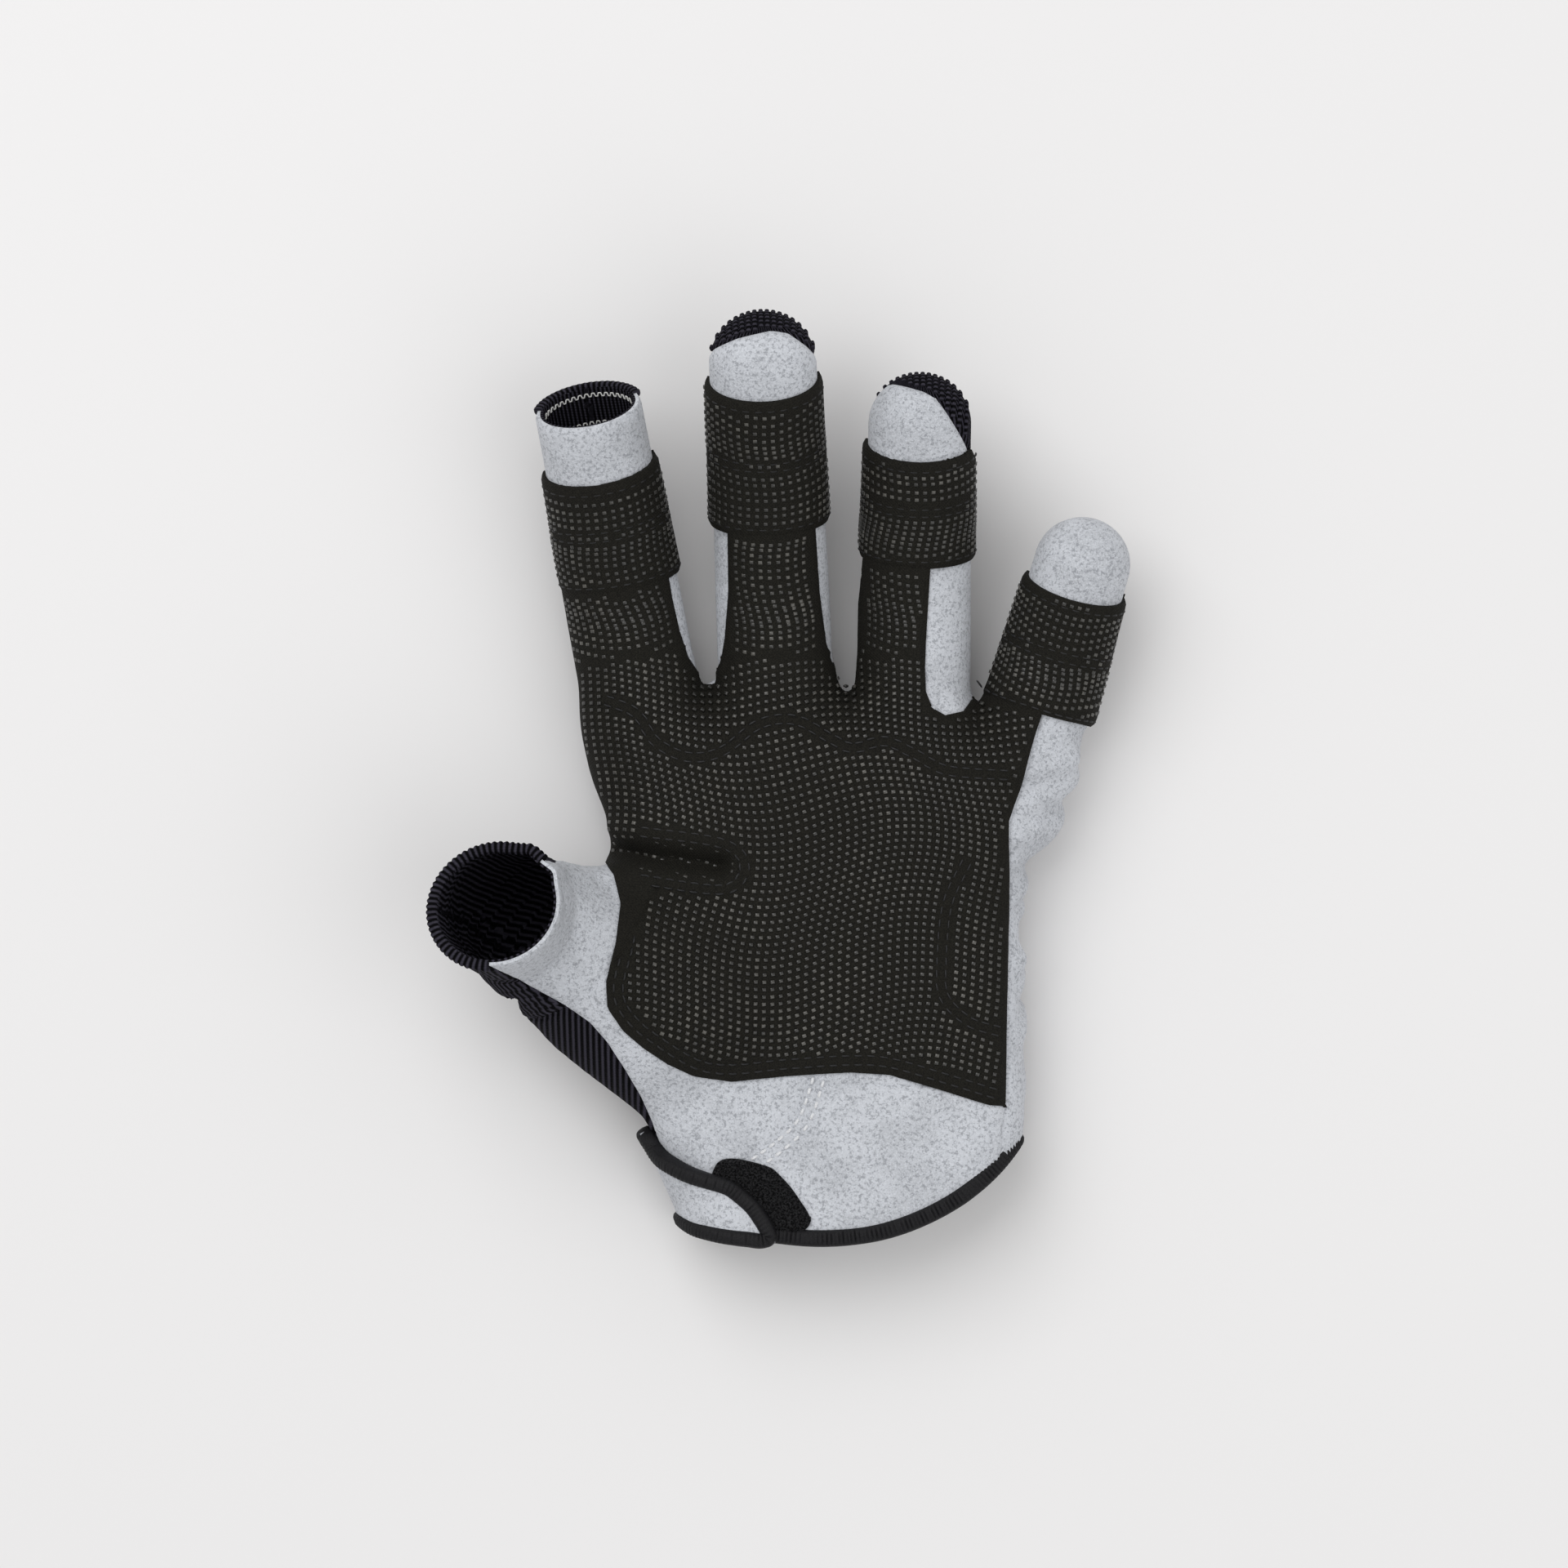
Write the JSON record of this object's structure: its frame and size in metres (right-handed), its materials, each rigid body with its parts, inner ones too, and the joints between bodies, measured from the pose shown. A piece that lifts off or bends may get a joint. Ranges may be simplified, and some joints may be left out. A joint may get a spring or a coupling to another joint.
{
  "type": "sailing glove",
  "caption": "Left-hand sailing glove, palm up, with open index finger and thumb, full other fingers, textured grip palm and wrist strap.",
  "frame": {"origin": "middle of the flat underside of the back panel, on which the glove rests palm up", "axes": "+Z out of the palm, +Y towards the fingertips, -X towards the thumb"},
  "size_m": [0.1619, 0.2169, 0.0572],
  "materials": {
    "grey_suede": "matt synthetic suede, light grey with darker flecks",
    "grip_fabric": "dark fabric with small raised glossy squares",
    "rib_knit": "black ribbed stretch knit",
    "elastic_binding": "black ribbed elastic tape",
    "fastening_pile": "black hook and loop pile"
  },
  "bodies": {
    "hand": {"back_panel": "rib_knit", "palm_panel": "grey_suede", "palm_grip_patch": "grip_fabric", "thumb_side_gusset": "grey_suede", "wrist_side_gusset": "grey_suede", "little_side_gusset": "grey_suede", "thumb_base_panel": "grey_suede", "wrist_palm_panel": "grey_suede", "cuff_binding": "elastic_binding", "loop_patch": "fastening_pile", "strap_anchor": "grey_suede", "web_index_middle": "grey_suede", "web_middle_ring": "grey_suede", "web_ring_little": "grey_suede", "index_root_sleeve": "grey_suede", "middle_root_sleeve": "grey_suede", "ring_root_sleeve": "grey_suede", "little_root_sleeve": "grey_suede", "thumb_root_palm": "grey_suede", "thumb_root_back": "rib_knit"},
    "index_finger": {"index_knuckle_sleeve": "grey_suede", "index_palm_side": "grey_suede", "index_back_knit": "rib_knit", "index_grip_wrap": "grip_fabric", "index_hem": "rib_knit"},
    "middle_finger": {"middle_knuckle_sleeve": "grey_suede", "middle_palm_side": "grey_suede", "middle_back_knit": "rib_knit", "middle_grip_wrap": "grip_fabric"},
    "ring_finger": {"ring_knuckle_sleeve": "grey_suede", "ring_palm_side": "grey_suede", "ring_back_knit": "rib_knit", "ring_grip_wrap": "grip_fabric"},
    "little_finger": {"little_knuckle_sleeve": "grey_suede", "little_palm_side": "grey_suede", "little_back_knit": "rib_knit", "little_grip_wrap": "grip_fabric"},
    "thumb": {"thumb_knuckle_sleeve": "grey_suede", "thumb_palm_side": "grey_suede", "thumb_back_knit": "rib_knit", "thumb_hem": "rib_knit"},
    "strap": {"strap_fold": "grey_suede", "strap_tab": "grey_suede", "strap_binding": "elastic_binding", "hook_patch": "fastening_pile"}
  },
  "joints": [
    {"name": "index_curl", "type": "hinge", "parent": "hand", "child": "index_finger", "pos_m": [-0.04481, 0.06567, 0.0133], "axis": [0.9836, 0.1805, 0], "range_deg": [0, 65], "deforming": ["index_knuckle_sleeve"]},
    {"name": "middle_curl", "type": "hinge", "parent": "hand", "child": "middle_finger", "pos_m": [-0.01024, 0.06598, 0.0133], "axis": [0.9991, 0.0419, 0], "range_deg": [0, 65], "deforming": ["middle_knuckle_sleeve"]},
    {"name": "ring_curl", "type": "hinge", "parent": "hand", "child": "ring_finger", "pos_m": [0.02341, 0.066, 0.0127], "axis": [0.9999, -0.0105, 0], "range_deg": [0, 65], "deforming": ["ring_knuckle_sleeve"]},
    {"name": "little_curl", "type": "hinge", "parent": "hand", "child": "little_finger", "pos_m": [0.05551, 0.05199, 0.0116], "axis": [0.9613, -0.2756, 0], "range_deg": [0, 65], "deforming": ["little_knuckle_sleeve"]},
    {"name": "thumb_fold", "type": "hinge", "parent": "hand", "child": "thumb", "pos_m": [-0.062, -0.012, 0.025], "axis": [0, 0.9726, -0.2326], "range_deg": [0, 35], "deforming": ["thumb_knuckle_sleeve"]},
    {"name": "strap_open", "type": "hinge", "parent": "hand", "child": "strap", "pos_m": [-0.0534, -0.06, 0.014], "axis": [0, -1, 0], "range_deg": [0, 110], "deforming": ["strap_fold"]}
  ]
}
